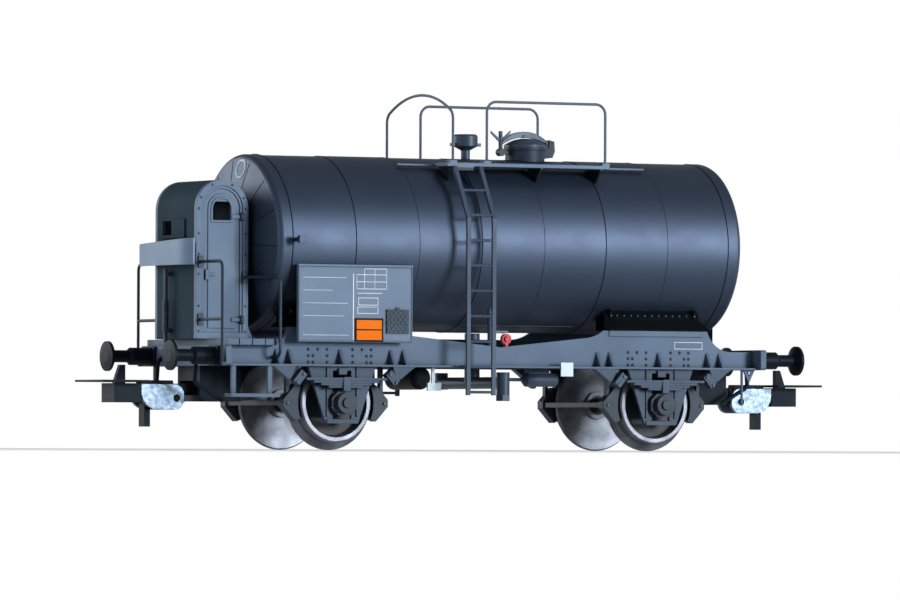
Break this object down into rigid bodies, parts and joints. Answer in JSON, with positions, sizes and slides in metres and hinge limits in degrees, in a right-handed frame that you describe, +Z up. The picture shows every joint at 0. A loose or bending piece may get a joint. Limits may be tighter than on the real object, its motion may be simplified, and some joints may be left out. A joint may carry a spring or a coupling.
{
  "type": "model railway tank car",
  "caption": "Two-axle model railway tank car: round tank on a channel frame, brake cab at one end, ladders, walkways and lifting loop couplers.",
  "frame": {"origin": "on the floor under the wheel flanges, midway between the buffers and midway between the sides", "axes": "+X along the car from the cab end to the plain end, +Y to the far side, +Z up"},
  "size_m": [0.117, 0.0296, 0.0511],
  "materials": {
    "tank_paint": "satin dark blue-grey paint",
    "grey_plastic": "matt blue-grey",
    "black_plastic": "matt near-black",
    "bright_steel": "turned bright steel, dark wheel centre",
    "coupler_metal": "plated, slightly mottled",
    "hazard_orange": "orange plate with black border and bar",
    "white_plate": "white printed plate",
    "valve_red": "red"
  },
  "bodies": {
    "wagon": {"air_reservoir": "black_plastic", "axle_guards": "grey_plastic", "axleboxes": "grey_plastic", "brake_cylinder": "black_plastic", "brake_gear_cab_end": "grey_plastic", "brake_gear_plain_end": "grey_plastic", "brake_hoses": "black_plastic", "buffers_cab_end": "black_plastic", "buffers_plain_end": "black_plastic", "cab_apron": "grey_plastic", "cab_door_far": "grey_plastic", "cab_door_near": "grey_plastic", "cab_handrails": "grey_plastic", "cab_shell": "grey_plastic", "cab_side_far": "grey_plastic", "cab_side_near": "grey_plastic", "card_holders": "grey_plastic", "changeover_plates": "white_plate", "coupler_pocket_cab_end": "black_plastic", "coupler_pocket_plain_end": "black_plastic", "cross_bars": "grey_plastic", "discharge_valve": "black_plastic", "footsteps": "grey_plastic", "handbrake_spindle": "grey_plastic", "handrail_far": "black_plastic", "handrail_hoop": "black_plastic", "handrail_near": "black_plastic", "hazard_plates": "hazard_orange", "headstock_cab_end": "grey_plastic", "headstock_plain_end": "grey_plastic", "inner_beams": "grey_plastic", "ladder_far": "grey_plastic", "ladder_near": "grey_plastic", "leaf_springs": "grey_plastic", "manhole_lid": "black_plastic", "manhole_neck": "black_plastic", "platform_boards": "grey_plastic", "sign_board_far": "grey_plastic", "sign_board_near": "grey_plastic", "solebar_far": "grey_plastic", "solebar_near": "grey_plastic", "spring_shackles": "grey_plastic", "tank_barrel": "tank_paint", "tank_saddles": "black_plastic", "tank_stop": "black_plastic", "towing_loops": "grey_plastic", "valve_cap": "valve_red", "vent_valve": "black_plastic", "walkways": "black_plastic"},
    "wheelset_cab_end": {"wheels_cab_end": "bright_steel", "axle_cab_end": "bright_steel"},
    "coupler_cab_end": {"coupler_head_cab_end": "black_plastic", "coupler_cheeks_cab_end": "coupler_metal"},
    "loop_cab_end": {"coupler_loop_cab_end": "black_plastic"},
    "wheelset_plain_end": {"wheels_plain_end": "bright_steel", "axle_plain_end": "bright_steel"},
    "coupler_plain_end": {"coupler_head_plain_end": "black_plastic", "coupler_cheeks_plain_end": "coupler_metal"},
    "loop_plain_end": {"coupler_loop_plain_end": "black_plastic"}
  },
  "joints": [
    {"name": "wheelset_cab_end_roll", "type": "hinge", "parent": "wagon", "child": "wheelset_cab_end", "pos_m": [-0.02456, 0, 0.00665], "axis": [0, 1, 0], "continuous": true},
    {"name": "wheelset_plain_end_roll", "type": "hinge", "parent": "wagon", "child": "wheelset_plain_end", "pos_m": [0.02716, 0, 0.00665], "axis": [0, 1, 0], "continuous": true},
    {"name": "coupler_cab_end_swing", "type": "hinge", "parent": "wagon", "child": "coupler_cab_end", "pos_m": [-0.0386, 0, 0.0087], "axis": [0, 0, 1], "range_deg": [-10, 10]},
    {"name": "loop_cab_end_lift", "type": "hinge", "parent": "coupler_cab_end", "child": "loop_cab_end", "pos_m": [-0.046, 0, 0.0072], "axis": [0, 1, 0], "range_deg": [0, 18]},
    {"name": "coupler_plain_end_swing", "type": "hinge", "parent": "wagon", "child": "coupler_plain_end", "pos_m": [0.0386, 0, 0.0087], "axis": [0, 0, -1], "range_deg": [-10, 10]},
    {"name": "loop_plain_end_lift", "type": "hinge", "parent": "coupler_plain_end", "child": "loop_plain_end", "pos_m": [0.046, 0, 0.0072], "axis": [0, -1, 0], "range_deg": [0, 18]}
  ]
}
